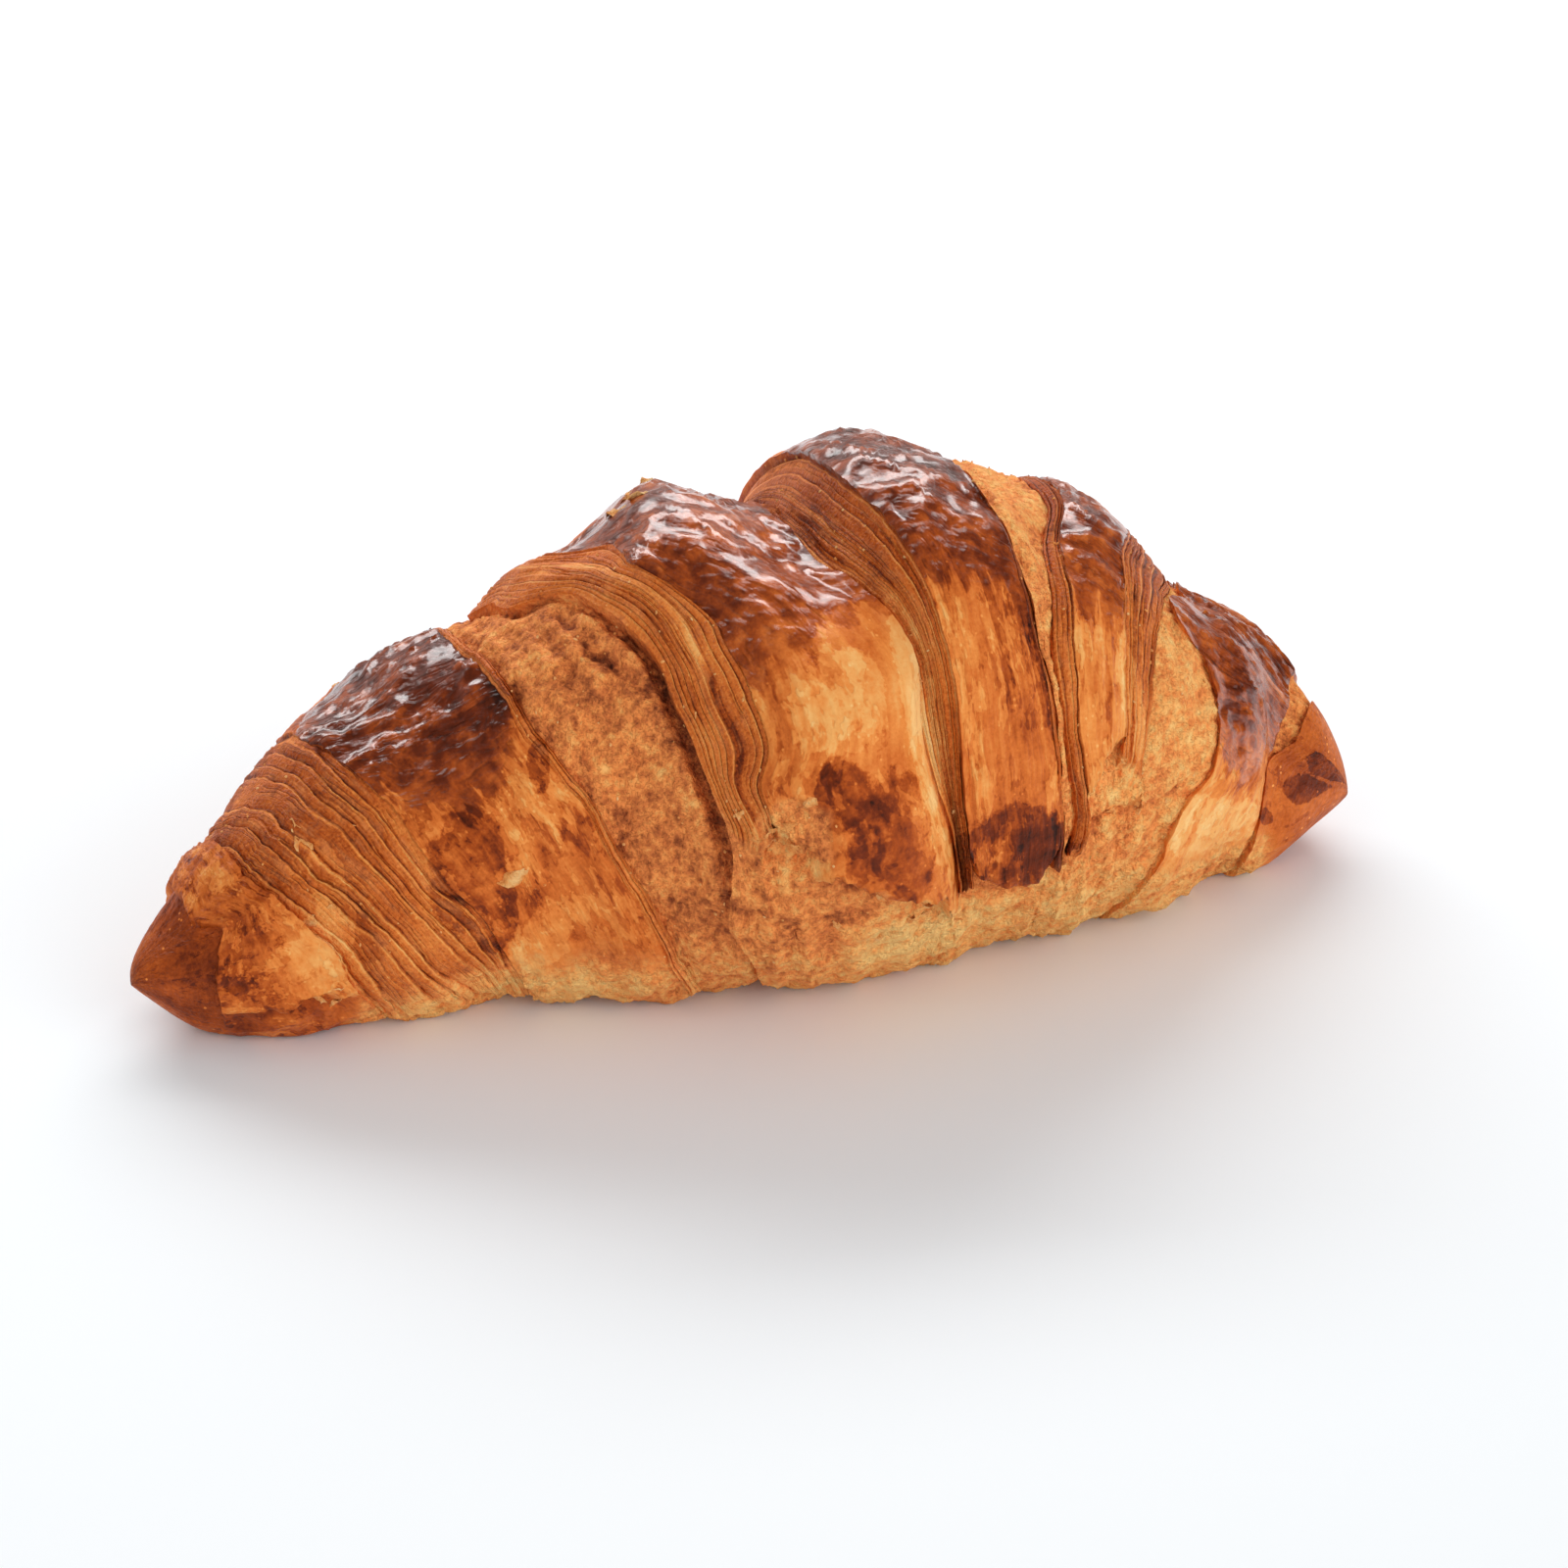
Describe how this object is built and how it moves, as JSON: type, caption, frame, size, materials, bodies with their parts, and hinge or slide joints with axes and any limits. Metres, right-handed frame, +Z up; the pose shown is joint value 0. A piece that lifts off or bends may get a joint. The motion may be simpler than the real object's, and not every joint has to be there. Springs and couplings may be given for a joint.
{
  "type": "croissant",
  "caption": "Baked croissant: a rolled crescent of flaky laminated dough with stepped wraps, tapered tips and a tongue ending low in front; bread or pastry item that rests flat.",
  "frame": {"origin": "middle of the underside: centre of the bounding box in X and Y, on the resting plane in Z", "axes": "+X along the roll towards the right tip, -Y towards the front with the tongue's end, +Z up"},
  "size_m": [0.1702, 0.0808, 0.0667],
  "materials": {
    "crust": "egg-washed baked crust: glossy dark brown on the tops of the wraps, dull golden brown on cut edges, splits and underside; matte plastic stands in for baked dough"
  },
  "bodies": {
    "root": {"croissant": "crust"}
  },
  "joints": []
}
